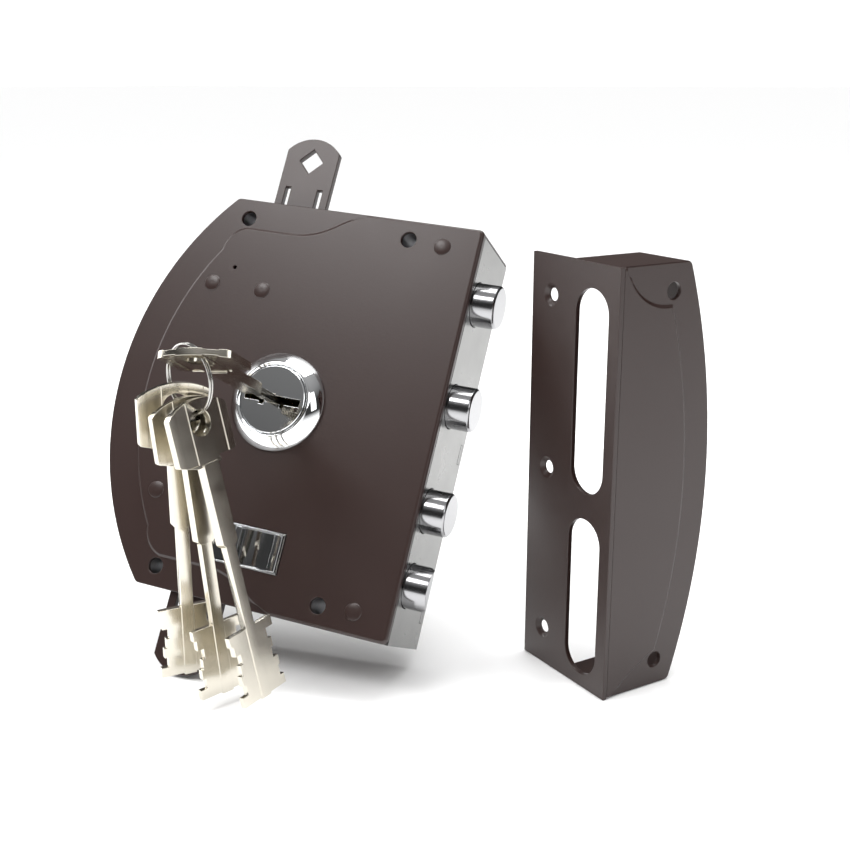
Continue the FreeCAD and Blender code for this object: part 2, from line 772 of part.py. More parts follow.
def make_carrier():
    low = q.bolt_level - q.carrier_thick / 2
    high = low + q.carrier_thick
    tab_half = q.bolt_tab_high / 2
    slot_end = q.backset + q.bolt_out - q.bolt_long + q.bolt_slot_deep
    right = q.carrier_right
    foot = -q.carrier_half + q.carrier_step
    outline = [(-q.carrier_left, -q.carrier_half), (-q.carrier_left / 3, -q.carrier_half), (0, foot),
               (right, foot)]
    for up in reversed(BOLT_UPS):
        outline += [(right, up - tab_half), (slot_end, up - tab_half), (slot_end, up + tab_half)]
        if up is not BOLT_UPS[0]:
            outline.append((right, up + tab_half))
    outline += [(q.post_across, BOLT_UPS[0] + tab_half), (q.post_across, q.carrier_half),
                (-q.carrier_left, q.carrier_half)]
    mouth = q.talon_wide / 2
    root = mouth - q.talon_slope
    talon_up = q.window_half + q.talon_deep
    window = [(q.window_right, -q.window_half), (q.window_right, q.window_half)]
    for index in range(int(SIZES["talon_count"])):
        across = q.window_right - q.talon_first - q.talon_pitch * index
        window += [(across + mouth, q.window_half), (across + root, talon_up), (across - root, talon_up),
                   (across - mouth, q.window_half)]
    window += [(-q.window_left, q.window_half), (-q.window_left, -q.window_half)]
    reach = q.throw_on
    back = q.throw_back
    loops = [("path", outline), ("path", window)]
    for side in (1, -1):
        loops.append(("slot", (q.post_across - reach, side * q.post_up),
                      (q.post_across + back, side * q.post_up), q.post_neck + q.play))
        loops.append(("slot", (-q.stud_across + back, side * (q.stud_up - back * q.lug_rate)),
                      (-q.stud_across - reach, side * (q.stud_up + reach * q.lug_rate)),
                      q.stud_wide + q.play))
    loops += [("circle", (slot_end - q.bolt_slot_deep / 2, up), q.bolt_pin + q.play) for up in BOLT_UPS]
    plate("bolt_carrier", low, high, *loops)

    start = q.backset + q.bolt_out - q.bolt_long
    end = q.backset + q.bolt_out
    radius = q.bolt_wide / 2
    for index, up in enumerate(BOLT_UPS):
        bolt = new_body("deadbolt_%d" % (index + 1))
        turn_along(bolt, q.bolt_level, up,
                   [(start, 0), (start, radius), (end - q.bolt_chamfer, radius),
                    (end, radius - q.bolt_chamfer), (end, 0)])
        slot_bolt(bolt, start, up)
    pins = new_body("bolt_pins")
    pad(pins, q.bolt_level - q.pin_half, q.bolt_level + q.pin_half,
        *[("circle", (slot_end - q.bolt_slot_deep / 2, up), q.bolt_pin) for up in BOLT_UPS])
    side = q.stump_side / 2
    plate("bolt_stump", q.stump_low, low,
          ("path", box_path(-q.stump_across - side, q.stump_up - side, -q.stump_across + side,
                            q.stump_up + side)))

    posts = new_body("carrier_posts")
    for side in (1, -1):
        neck = q.post_neck / 2
        collar = q.post_wide / 2
        turn_up(posts, (q.post_across, side * q.post_up),
                [(0, BACK_HIGH), (collar, BACK_HIGH), (collar, low - q.play), (neck, low - q.play),
                 (neck, high + q.play), (collar + q.post_brim, high + q.play),
                 (collar + q.post_brim, high + q.play + q.post_cap), (0, high + q.play + q.post_cap)])


def slot_bolt(bolt, start, up):
    """Cuts the rear slot and the pin hole of a bolt."""
    gap = q.carrier_thick / 2 + q.play
    radius = q.bolt_wide / 2 + 1
    cut_up(bolt, up - radius, up + radius,
           ("path", box_path(start - 1, q.bolt_level - gap, start + q.bolt_slot_deep, q.bolt_level + gap)))
    pocket(bolt, q.bolt_level - q.pin_half, q.bolt_level + q.pin_half,
           ("circle", (start + q.bolt_slot_deep / 2, up), q.bolt_pin + q.play))


def make_lugs():
    high = q.lug_level + q.lug_thick
    left = -q.lug_middle - q.lug_wide / 2
    right = -q.lug_middle + q.lug_wide / 2
    corner = q.lug_reach - q.lug_end_drop
    half_square = q.lug_square * math.sqrt(0.5)
    square_up = q.lug_reach - q.lug_square_in
    down = q.throw_back * q.lug_rate
    out = q.throw_on * q.lug_rate
    guide = -q.strap_rivet_near
    for name, side in (("upper", 1), ("lower", -1)):
        outline = [(left, side * q.lug_inner), (right, side * q.lug_inner), (right, side * corner),
                   ("via", (-q.lug_middle, side * q.lug_reach)), (left, side * corner)]
        square = [(-q.lug_middle - half_square, side * square_up),
                  (-q.lug_middle, side * (square_up - half_square)),
                  (-q.lug_middle + half_square, side * square_up),
                  (-q.lug_middle, side * (square_up + half_square))]
        loops = [("path", outline), ("path", square),
                 ("circle", (-q.stud_across, side * q.stud_up), q.stud_neck + q.play),
                 ("slot", (guide, side * (q.strap_rivet_up - out)), (guide, side * (q.strap_rivet_up + down)),
                  q.post_neck + q.play)]
        for shift in (-0.5, 0.5):
            middle = -q.lug_middle + q.lug_slot_apart * shift
            loops.append(("path", box_path(middle - q.lug_slot_wide / 2, side * q.lug_slot_in,
                                           middle + q.lug_slot_wide / 2, side * q.lug_slot_out)))
        plate(name + "_rod_lug", q.lug_level, high, *loops)
        stud = new_body(name + "_lug_stud")
        turn_up(stud, (-q.stud_across, side * q.stud_up),
                [(0, q.stud_low), (q.stud_wide / 2, q.stud_low), (q.stud_wide / 2, q.lug_level),
                 (q.stud_neck / 2, q.lug_level), (q.stud_neck / 2, high), (0, high)])
        strap_low = q.lug_level - q.fit_gap - q.strap_thick
        plate(name + "_lug_strap", strap_low, strap_low + q.strap_thick,
              ("path", box_path(-q.strap_rivet_far - q.strap_end, side * (q.strap_rivet_up - q.strap_high / 2),
                                guide + q.strap_end, side * (q.strap_rivet_up + q.strap_high / 2))),
              *[("circle", (-across, side * q.strap_rivet_up), q.rivet_shank + q.play)
                for across in (q.strap_rivet_near, q.strap_rivet_far)])
        spacer = new_body(name + "_strap_spacers")
        for across in (q.strap_rivet_near, q.strap_rivet_far):
            spot = (-across, side * q.strap_rivet_up)
            pad(spacer, strap_low + q.strap_thick, UNDER_FIELD, ("circle", spot, q.post_neck),
                ("circle", spot, q.rivet_shank + q.play))


def make_latch():
    start = q.backset + q.bolt_out - q.latch_long
    end = q.backset + q.bolt_out
    radius = q.bolt_wide / 2
    latch = new_body("latch_bolt")
    turn_along(latch, q.bolt_level, LATCH_UP, [(start, 0), (start, radius), (end, radius), (end, 0)])
    slot_bolt(latch, start, LATCH_UP)
    bevel_top = q.bolt_level + q.latch_land
    run = (radius + q.latch_land) * math.tan(math.radians(SIZES["latch_bevel"]))
    cut_up(latch, LATCH_UP - radius - 1, LATCH_UP + radius + 1,
           ("path", [(end + 1, bevel_top), (end, bevel_top), (end - run, q.bolt_level - radius),
                     (end - run, q.bolt_level - radius - 1), (end + 1, q.bolt_level - radius - 1)]))
    low = q.bolt_level - q.tail_thick / 2
    high = low + q.tail_thick
    tail_end = start + q.bolt_slot_deep
    half = q.tail_high / 2
    tail = plate("latch_tail", low, high,
                 ("path", box_path(q.tail_left, LATCH_UP - half, tail_end, LATCH_UP + half)),
                 ("circle", (tail_end - q.bolt_slot_deep / 2, LATCH_UP), q.bolt_pin + q.play))
    plate("latch_pin", q.bolt_level - q.pin_half, q.bolt_level + q.pin_half,
          ("circle", (tail_end - q.bolt_slot_deep / 2, LATCH_UP), q.bolt_pin))

    bracket_right = q.bracket_left + q.bracket_thick
    bracket = new_body("latch_bracket")
    pad_along(bracket, q.bracket_left, bracket_right,
              ("path", box_path(BACK_HIGH, LATCH_UP - q.bracket_half, high + q.bracket_thick,
                                LATCH_UP + q.bracket_half - q.bracket_cut)))
    pad(bracket, BACK_HIGH, BACK_HIGH + q.bracket_thick / 2,
        ("path", box_path(bracket_right - 1, LATCH_UP - q.bracket_half, bracket_right + q.bracket_foot,
                          LATCH_UP + q.bracket_half - q.bracket_cut)))
    cut_along(bracket, q.bracket_left - 1, bracket_right + 1,
              ("path", box_path(low - q.run_gap, LATCH_UP - half - q.run_gap, high + q.run_gap,
                                LATCH_UP + half + q.run_gap)))
    make_latch_spring(bracket_right + q.play, start - q.play)

    slide = new_body("thumb_slide")
    stem_right = q.stem_left + q.stem_wide
    pad(slide, high, q.slide_level + q.thumb_plate,
        ("path", box_path(q.stem_left, LATCH_UP - half, stem_right, LATCH_UP + half)))
    pad(slide, q.slide_level, q.slide_level + q.thumb_plate,
        ("path", box_path(q.thumb_left + q.thumb_wall + q.fit_gap, LATCH_UP - q.bracket_half - q.slide_below,
                          q.thumb_right + q.slide_end, LATCH_UP + q.bracket_half + q.slide_above)))
    grip_left = q.thumb_right - q.thumb_wall - q.fit_gap - q.thumb_wide
    grip_right = q.thumb_right - q.thumb_wall - q.fit_gap
    top = FACE + q.thumb_proud
    middle = (grip_left + grip_right) / 2
    grip_half = q.thumb_high / 2 - q.thumb_wall - q.fit_gap
    pad_up(slide, LATCH_UP - grip_half, LATCH_UP + grip_half,
           [(grip_left, q.slide_level + q.thumb_plate / 2), (grip_left, top - q.grip_round),
            (grip_left + q.grip_round, top), (grip_left + q.thumb_band, top),
            (grip_left + q.thumb_band + q.grip_side, top - q.grip_dish), ("via", (middle, top - q.grip_deep)),
            (grip_right - q.thumb_band - q.grip_side, top - q.grip_dish), (grip_right - q.thumb_band, top),
            (grip_right - q.grip_round, top), (grip_right, top - q.grip_round),
            (grip_right, q.slide_level + q.thumb_plate / 2)])

    plate("thumb_bezel", UNDER_FIELD, FACE + q.bezel_proud, ("path", window_path(q.fit_gap)),
          ("path", window_path(q.thumb_wall)))


def window_path(inset):
    half = q.thumb_high / 2
    return box_path(q.thumb_left + inset, LATCH_UP - half + inset, q.thumb_right - inset,
                    LATCH_UP + half - inset)


def make_latch_spring(left, right):
    """A compression spring about the latch tail, as one unbroken wire of quarter turns."""
    turns = int(SIZES["spring_turns"])
    radius = (SIZES["spring_wide"] - SIZES["spring_wire"]) / 2
    wire = SIZES["spring_wire"] / 2
    start, end = number(left) + wire, number(right) - wire
    level, up = number(q.bolt_level), number(LATCH_UP)
    count = turns * 4

    def spot(turn):
        angle = math.tau * turn
        return Vector(start + (end - start) * turn / turns, -level + radius * math.cos(angle),
                      up + radius * math.sin(angle))

    edges = []
    for step in range(count):
        begin, middle, finish = [spot((step + part) / 4) for part in (0, 0.5, 1)]
        edges.append(Part.Arc(begin, middle, finish).toShape())
    heading = Vector(end - start, 0, math.tau * radius * turns)
    section = Part.Wire(Part.Circle(spot(0), heading, wire).toShape())
    shell = Part.Wire(edges).makePipeShell([section], True, False)
    spring = doc.addObject("Part::Feature", "latch_spring")
    spring.Label = "latch_spring"
    spring.Shape = shell
    spring.setExpression("Placement", LOCK)
    nodes.append(spring)
    gap = (end - start) / turns - 2 * wire
    print("latch spring: least gap between turns %.2f mm, volume %.1f of %.1f"
          % (gap, shell.Volume, math.pi * wire ** 2 * shell_length(edges)))


def shell_length(edges):
    return sum(edge.Length for edge in edges)


def make_rosette():
    rosette = new_body("rosette")
    out = q.rosette_wide / 2
    lip = q.rosette_lip / 2
    neck = q.rosette_neck / 2
    seat = q.rosette_seat / 2
    top = FACE + q.rosette_proud
    foot = FACE - q.rosette_deep
    turn_up(rosette, (0, 0), [(neck, foot), (neck, FACE), (out, FACE), (out, FACE + 1),
                              ("via", (out - 1.9, FACE + 3.6)), (lip + 1.6, top - 0.5),
                              ("via", (lip + 1.2, top - 0.12)), (lip + 0.7, top), (lip, top - 0.6),
                              (lip, top - q.disc_seat), (seat, top - q.disc_seat), (seat, foot)])
    nut_low = UNDER_FIELD - q.nut_thick
    across = q.nut_wide / 2
    nut = new_body("rosette_nut")
    turn_up(nut, (0, 0), [(neck + q.play, nut_low), (across, nut_low), (across, UNDER_FIELD),
                          (neck + q.play, UNDER_FIELD)])
    notch = q.nut_notch / 2
    near = across - q.nut_notch_deep
    far = across + q.cut_over
    for side in (1, -1):
        pocket(nut, nut_low - q.cut_over, nut_low + q.nut_notch_high,
               ("path", box_path(-notch, side * near, notch, side * far)),
               ("path", box_path(side * near, -notch, side * far, notch)))

    disc = new_body("keyway_disc")
    flange = q.disc_flange / 2
    rim = q.disc_wide / 2
    shoulder = top - q.disc_seat - q.play
    turn_up(disc, (0, 0), [(0, shoulder - q.disc_thick), (flange, shoulder - q.disc_thick),
                           (flange, shoulder), (rim, shoulder), (rim, top - 0.7), (rim - 0.5, top - 0.2),
                           (0, top - 0.2)])
    pocket(disc, shoulder - q.disc_thick - 1, top + 1, ("path", keyway_path()))
    ring = new_body("disc_retainer")
    ring_high = shoulder - q.disc_thick - q.play
    bore = rim - q.retainer_wide
    turn_up(ring, (0, 0), [(bore, ring_high - q.retainer_thick), (seat - q.play, ring_high - q.retainer_thick),
                           (seat - q.play, ring_high), (bore, ring_high)])

    rear = new_body("rear_keyway_disc")
    rear_rim = q.rear_disc_wide / 2
    rear_flange = rear_rim + q.rear_flange
    flange_low = BACK_HIGH + q.play
    flange_high = flange_low + q.rear_flange_thick
    turn_up(rear, (0, 0), [(0, BACK_LOW), (rear_rim, BACK_LOW), (rear_rim, flange_low),
                           (rear_flange, flange_low), (rear_flange, flange_high), (0, flange_high)])
    pocket(rear, BACK_LOW - q.cut_over, flange_high + q.cut_over, ("path", keyway_path()))
    collar = new_body("rear_disc_collar")
    collar_out = rear_flange + q.run_gap
    lip_low = flange_high + q.play
    lip_high = lip_low + q.rear_flange_thick
    bore = rear_rim + q.collar_lip
    turn_up(collar, (0, 0), [(collar_out, BACK_HIGH), (collar_out + q.collar_wall, BACK_HIGH),
                             (collar_out + q.collar_wall, lip_high), (bore, lip_high), (bore, lip_low),
                             (collar_out, lip_low)])


def keyway_path():
    """The keyhole: a straight slot for the two bits, with small steps that fit one key profile."""
    half = q.keyway_long / 2
    high = q.keyway_high / 2
    step = q.keyway_step / 2
    deep = -high - q.ward_deep
    side_deep = -high - q.ward_side_deep
    crest = high + q.ward_top
    return [(-half, -high), (-q.ward_far, -high), (-q.ward_far, deep), (-q.ward_near, deep),
            (-q.ward_near, -high), (q.ward_side, -high), (q.ward_side, side_deep), (q.ward_far, side_deep),
            (q.ward_far, -high), (half, -high), (half, high), (step, high), (step, crest), (-step, crest),
            (-step, high), (-half, high)]


def make_levers():
    slot_wide = q.post_wide + q.play
    pocket_half = q.stump_side / 2 + q.gate_side
    gate_high = q.stump_up + q.stump_side / 2 + q.gate_play
    gate_low = q.stump_up - q.stump_side / 2 - q.gate_play
    side_reach = q.window_half + q.lever_window_side
    for index in range(int(SIZES["lever_count"])):
        low = q.lever_first - q.lever_pitch * index
        upper, lower = [], []
        for stop in range(4):
            middle = -q.stump_across - q.throw_back + q.bolt_out * stop
            upper += [(middle - pocket_half, gate_high), (middle - pocket_half, gate_high + q.lever_lift),
                      (middle + pocket_half, gate_high + q.lever_lift), (middle + pocket_half, gate_high)]
            lower = [(middle + pocket_half, gate_low), (middle + pocket_half, gate_low - q.lever_lift),
                     (middle - pocket_half, gate_low - q.lever_lift),
                     (middle - pocket_half, gate_low)] + lower
        plate("lever_%d" % (index + 1), low, low + q.lever_thick,
              ("path", box_path(-q.lever_left, -q.lever_high, q.lever_right, q.lever_high)),
              ("path", upper + lower),
              ("path", box_path(-side_reach, -q.lever_window, side_reach, q.lever_window)),
              *[("slot", (q.post_across, side * q.post_up - q.lever_lift),
                 (q.post_across, side * q.post_up + q.lever_lift), slot_wide) for side in (1, -1)])
        leaf = new_body("lever_spring_%d" % (index + 1))
        sketch = new_sketch(leaf, "XZ_Plane", (0, 0, low + q.leaf_edge))
        top = q.lever_high + q.play
        thick = q.leaf_thick
        seat = q.spring_bar_up
        draw_path(sketch, [(q.bar_left, seat), (q.bar_left, seat - thick),
                           ("via", (q.bar_left - 9, seat - 3.4)), (q.leaf_end, top),
                           (q.leaf_end, top + thick), ("via", (q.bar_left - 9.2, seat - 2.9))])
        feature = leaf.newObject("PartDesign::Pad", leaf.Label + "_pad")
        feature.Profile = sketch
        bind(feature, "Length", q.lever_thick - q.leaf_edge * 2)
    plate("lever_spring_bar", BACK_HIGH, q.lever_first + q.lever_thick + q.bar_below,
          ("path", box_path(q.bar_left, q.spring_bar_up - q.bar_below, q.bar_left + q.bar_long,
                            q.spring_bar_up + q.bar_above)))


# Steps of the bits from the tip, as shares of the widest step, one list for each edge of the key.
BITS_RIGHT = [step / 11.5 for step in (11.5, 9.6, 10.6, 8.2, 9.4, 7.6, 11.5)]
BITS_LEFT = [step / 11.5 for step in (11.5, 8.6, 10.0, 9.0, 7.8, 10.4, 11.5)]


def make_key(label, place, twist):
    """A double-bit key. Its tip is at its own origin and its bow lies towards the user (level upwards)."""
    key = new_body(label, place)
    step = (q.bit_long - 0.5) / len(BITS_RIGHT)
    shaft = q.shaft_wide / 2
    right = [(shaft, 0), (shaft, q.tip_round)]
    left = []
    for index, (one, other) in enumerate(zip(BITS_RIGHT, BITS_LEFT)):
        begin = step * index + q.tip_round
        end = begin + step
        right += [(q.bit_half * one, begin), (q.bit_half * one, end)]
        left = [(-(q.bit_half * other), end), (-(q.bit_half * other), begin)] + left
    bits_end = step * len(BITS_RIGHT) + q.tip_round
    half = q.bit_thick / 2
    pad_up(key, -half, half, [(-shaft, q.tip_round), (-shaft, 0)] + right + [(shaft, bits_end)]
           + [(-shaft, bits_end)] + left)
    thick = q.shaft_thick / 2
    pad_up(key, -thick, thick, [(-shaft, 0), (shaft, 0), (shaft, q.key_neck_start + 1),
                                (-shaft, q.key_neck_start + 1)])
    bow_start = q.key_long - q.bow_long
    neck = q.neck_wide / 2
    add_twisted(key, twist, q.neck_thick, [(-shaft - 0.2, q.key_neck_start), (shaft + 0.2, q.key_neck_start),
                                          (neck, q.key_neck_start + q.neck_taper), (neck, bow_start + 1),
                                          (-neck, bow_start + 1), (-neck, q.key_neck_start + q.neck_taper)])
    wide = q.bow_wide / 2
    shoulder = q.bow_shoulder / 2
    foot = bow_start + q.bow_foot
    corner = q.bow_corner
    arch = q.key_long - q.bow_arch
    bend = corner * (1 - math.sqrt(0.5))
    outline = [(-shoulder, bow_start), (shoulder, bow_start), (shoulder, foot), (wide - corner, foot),
               ("via", (wide - bend, foot + bend)), (wide, foot + corner), (wide, arch - corner),
               (wide - corner, arch), ("via", (0, q.key_long)), (corner - wide, arch),
               (-wide, arch - corner), (-wide, foot + corner), ("via", (bend - wide, foot + bend)),
               (corner - wide, foot)]
    add_twisted(key, twist, q.bow_thick, outline, (0, q.key_long - q.bow_hole_in), q.bow_hole)
    return key


def add_twisted(key, twist, thick, outline, centre=None, wide=None):
    """Adds a plate of the key that is turned about the key's axis."""
    sketch = key.newObject("Sketcher::SketchObject", key.Label + "_sketch")
    plane = [feature for feature in key.Origin.OriginFeatures if feature.Role == "XY_Plane"][0]
    sketch.AttachmentSupport = [(plane, "")]
    sketch.MapMode = "FlatFace"
    sketch.AttachmentOffset = FreeCAD.Placement(Vector(0, 0, 0), FreeCAD.Rotation(Vector(0, 1, 0), 5))
    bind(sketch, "AttachmentOffset.Rotation.Angle", -as_size(twist))
    draw_path(sketch, level_path(outline))
    if centre:
        draw_circle(sketch, (centre[0], -as_size(centre[1])), wide)
    feature = key.newObject("PartDesign::Pad", key.Label + "_pad")
    feature.Profile = sketch
    feature.Midplane = True
    bind(feature, "Length", thick)
    return feature


# The ring hangs in the hole of the inserted key's bow.
HOLE_OUT = q.key_tip + q.key_long - q.bow_hole_in
RING_NEAR = q.ring_in - HOLE_OUT * cosine(q.recline)
RING_UP = HOLE_OUT * sine(q.recline) - q.ring_drop


def make_keys():
    tip = (0, -q.key_tip * cosine(q.recline), q.key_tip * sine(q.recline))
    make_key("inserted_key", placement_text(tip, [(0, 0, -q.recline), (0, q.lock_roll, 0)]), q.bow_twist)
    hole = q.key_long - q.bow_hole_in
    for index, drop in enumerate((q.hang_drop_1, q.hang_drop_2, q.hang_drop_3)):
        swing = q.hang_first + q.hang_step * index
        facing = q.hang_facing + q.hang_fan * index
        lean = q.hang_lean + q.hang_lean_step * index
        out = q.ring_radius * sine(swing)
        across = q.ring_across + out * cosine(q.ring_facing) - q.hang_aside * cosine(facing)
        near = RING_NEAR + out * sine(q.ring_facing) - q.hang_aside * sine(facing)
        up = RING_UP - q.ring_radius * cosine(swing) - drop
        place = placement_text((across + hole * sine(lean), near, up - hole * cosine(lean)),
                               [(0, -lean, 0), (facing, 0, -90)])
        make_key("hanging_key_%d" % (index + 1), place, 0)


def make_ring():
    """The split ring: two turns of wire side by side, drawn as one ring with a groove round it."""
    place = placement_text((q.ring_across, RING_NEAR, RING_UP), [(q.ring_facing, 0, 0)])
    ring = new_body("key_ring", place)
    half = q.ring_wire
    inner = q.ring_radius - q.ring_wire / 2
    outer = q.ring_radius + q.ring_wire / 2
    groove = q.ring_wire / 4
    turn_up(ring, (0, 0), [(inner, -half), (outer, -half), (outer, -groove), (outer - groove, 0),
                           (outer, groove), (outer, half), (inner, half), (inner, groove),
                           (inner + groove, 0), (inner, -groove)])


def make_keeper():
    """The keeper has its own axes: across along its cover, level out towards the user, up from its foot."""
    wide = q.keeper_wide
    high = q.keeper_high
    sheet = q.keeper_sheet
    bulge = q.keeper_wide + q.keeper_bulge
    depth = q.keeper_box
    middle = high / 2
    side = new_body("keeper_plate", KEEPER)
    pad_along(side, 0, sheet, ("path", box_path(-q.keeper_deep, 0, 0, high)))
    near = q.keeper_slot_near
    fix = q.keeper_fix_deep
    spots = [(-fix, q.keeper_fix_end), (-fix, middle), (-fix, high - q.keeper_fix_end)]
    round_end = q.keeper_slot_wide / 2
    slots = [("slot", (-near - round_end, low + round_end), (-near - round_end, top - round_end),
              q.keeper_slot_wide)
             for low, top in ((q.keeper_slot_low, q.keeper_slot_top), (q.keeper_slot2_low, q.keeper_slot2_top))]
    cut_along(side, -1, sheet + 1, *slots,
              *[("circle", spot, q.keeper_fix) for spot in spots])
    countersink(side, spots)

    cover = new_body("keeper_cover", KEEPER)
    top = high
    outline = [(sheet, 0), (wide, 0), ("via", (bulge, middle)), (wide, top), (sheet, top)]
    shell = pad(cover, -depth, 0, ("path", outline))
    shell = round_edges(cover, shell, q.corner_round,
                        lambda edge: along_level(edge) and edge.CenterOfMass.x > number(sheet) + 1)
    round_edges(cover, shell, q.edge_round,
                lambda edge: at_level(edge, 0) and edge.CenterOfMass.x > number(sheet) + 0.5)
    inner_side = wide - q.keeper_field_side
    over = q.cut_over * 4
    field = [(sheet - q.cut_over, top + over), (sheet + q.cut_over, top + q.cut_over / 2),
             ("via", (q.keeper_dip_across, top - q.keeper_dip_top)), (inner_side, top - q.keeper_field_top),
             ("via", (wide + q.keeper_field_bulge, middle)), (inner_side, q.keeper_field_low),
             ("via", (q.keeper_dip_across, q.keeper_dip_low)), (sheet + q.cut_over, -q.cut_over / 2),
             (sheet - q.cut_over, -over), (bulge + over, -over), (bulge + over, top + over)]
    pocket(cover, -q.keeper_press, 1, ("path", field))
    inner = [(sheet - 1, sheet), (wide - sheet / 2, sheet), ("via", (bulge - sheet, middle)),
             (wide - sheet / 2, top - sheet), (sheet - 1, top - sheet)]
    pocket(cover, -depth - 1, -q.keeper_press - sheet, ("path", inner))
    holes = [(q.keeper_cover_across, q.keeper_cover_end), (q.keeper_cover_across, top - q.keeper_cover_end)]
    pocket(cover, -q.keeper_press - sheet - 3, 1, *[("circle", spot, q.keeper_cover_hole) for spot in holes])


def countersink(side, spots):
    """Cuts the cones of the keeper's screw holes, which open on its bare side."""
    deep = q.keeper_sink_deep
    for level, up in spots:
        sketch = new_sketch(side, "XY_Plane", (0, -level, up))
        draw_path(sketch, [(-1, 0), (-1, q.keeper_sink / 2 + 1), (deep, q.keeper_fix / 2),
                           (deep, 0)])
        groove = side.newObject("PartDesign::Groove", side.Label + "_sink")
        groove.Profile = sketch
        groove.ReferenceAxis = (sketch, ["H_Axis"])
        groove.Angle = 360


make_case()
rivets("strip_rivets", STRIP_RIVETS, UNDER_BORDER - q.strip_thick - q.rivet_tail)
rivets("strap_rivets", STRAP_RIVETS, q.lug_level - q.fit_gap - q.strap_thick - q.strap_rivet_tail)
make_carrier()
make_lugs()
make_latch()
make_rosette()
make_levers()
make_keys()
make_ring()
make_keeper()

doc.recompute()
for item in doc.Objects:
    if "Invalid" in item.State or "Error" in item.State:
        raise RuntimeError("%s is in state %s" % (item.Label, item.State))
for node in nodes:
    if node.Shape.isNull() or not node.Shape.isValid():
        raise RuntimeError("%s has no valid shape" % node.Label)

os.makedirs("parts", exist_ok=True)
for node in nodes:
    node.Shape.exportStep("parts/%s.step" % node.Label)
print("%d sub-parts" % len(nodes))
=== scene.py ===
"""The looks of a surface mounted door lock with its keys and keeper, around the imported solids."""

import json
import math

import bmesh
import bpy
from mathutils import Matrix, Vector

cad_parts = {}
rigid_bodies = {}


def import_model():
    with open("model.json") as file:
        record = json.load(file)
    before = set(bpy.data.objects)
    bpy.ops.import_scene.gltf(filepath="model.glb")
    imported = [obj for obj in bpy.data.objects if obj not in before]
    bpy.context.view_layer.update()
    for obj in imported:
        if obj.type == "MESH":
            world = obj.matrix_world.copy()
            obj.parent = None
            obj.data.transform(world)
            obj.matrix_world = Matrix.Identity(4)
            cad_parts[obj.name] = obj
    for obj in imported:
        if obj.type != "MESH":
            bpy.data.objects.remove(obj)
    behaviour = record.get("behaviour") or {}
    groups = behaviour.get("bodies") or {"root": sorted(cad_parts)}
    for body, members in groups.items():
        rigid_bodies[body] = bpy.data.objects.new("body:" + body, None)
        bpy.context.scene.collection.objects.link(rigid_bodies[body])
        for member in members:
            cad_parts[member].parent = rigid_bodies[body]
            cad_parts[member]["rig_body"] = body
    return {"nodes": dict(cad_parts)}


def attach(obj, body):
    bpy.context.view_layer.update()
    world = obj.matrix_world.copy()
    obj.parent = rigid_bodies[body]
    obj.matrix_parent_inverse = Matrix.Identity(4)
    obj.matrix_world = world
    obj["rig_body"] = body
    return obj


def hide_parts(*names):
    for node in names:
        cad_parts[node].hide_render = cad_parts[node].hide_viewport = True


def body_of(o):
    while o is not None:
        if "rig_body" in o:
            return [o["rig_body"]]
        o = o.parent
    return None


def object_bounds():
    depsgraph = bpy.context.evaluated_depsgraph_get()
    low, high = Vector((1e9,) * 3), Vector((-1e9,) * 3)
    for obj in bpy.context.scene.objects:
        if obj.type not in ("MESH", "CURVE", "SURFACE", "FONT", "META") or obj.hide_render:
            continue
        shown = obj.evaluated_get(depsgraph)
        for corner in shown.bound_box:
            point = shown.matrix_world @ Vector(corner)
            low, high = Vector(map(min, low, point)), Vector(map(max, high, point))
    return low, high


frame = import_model()
cad_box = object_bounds()
nodes = frame["nodes"]

# The pieces' sizes are in millimetres and turned to metres by MM; the stage's are in metres.
MM = 0.001

# ---------------------------------------------------------------- materials

ENAMEL_GRAIN = 900
ENAMEL_GRAIN_DEEP = 0.00006
ENAMEL_CLOUDS = 30
ENAMEL_SMOOTHER, ENAMEL_ROUGHER = 0.04, 0.05
METAL_GRAIN_DEEP = 0.00005


def new_material(name, colour):
    material = bpy.data.materials.new(name)
    material.use_nodes = True
    tree = material.node_tree
    shader = tree.nodes["Principled BSDF"]
    shader.inputs["Base Color"].default_value = (*colour, 1)
    return material, tree, shader


def add_noise(tree, scale, detail, stretch=(1, 1, 1)):
    """Noise in the object's own axes, so that it stays on the piece at every pose."""
    place = tree.nodes.new("ShaderNodeTexCoord")
    mapping = tree.nodes.new("ShaderNodeMapping")
    mapping.inputs["Scale"].default_value = stretch
    noise = tree.nodes.new("ShaderNodeTexNoise")
    noise.inputs["Scale"].default_value = scale
    noise.inputs["Detail"].default_value = detail
    tree.links.new(place.outputs["Object"], mapping.inputs["Vector"])
    tree.links.new(mapping.outputs["Vector"], noise.inputs["Vector"])
    return noise


def add_bump(tree, shader, source, strength, distance):
    bump = tree.nodes.new("ShaderNodeBump")
    bump.inputs["Strength"].default_value = strength
    bump.inputs["Distance"].default_value = distance
    tree.links.new(source.outputs["Fac"], bump.inputs["Height"])
    tree.links.new(bump.outputs["Normal"], shader.inputs["Normal"])


def vary_roughness(tree, shader, source, low, high):
    spread = tree.nodes.new("ShaderNodeMapRange")
    spread.inputs["To Min"].default_value = low
    spread.inputs["To Max"].default_value = high
    tree.links.new(source.outputs["Fac"], spread.inputs["Value"])
    tree.links.new(spread.outputs["Result"], shader.inputs["Roughness"])


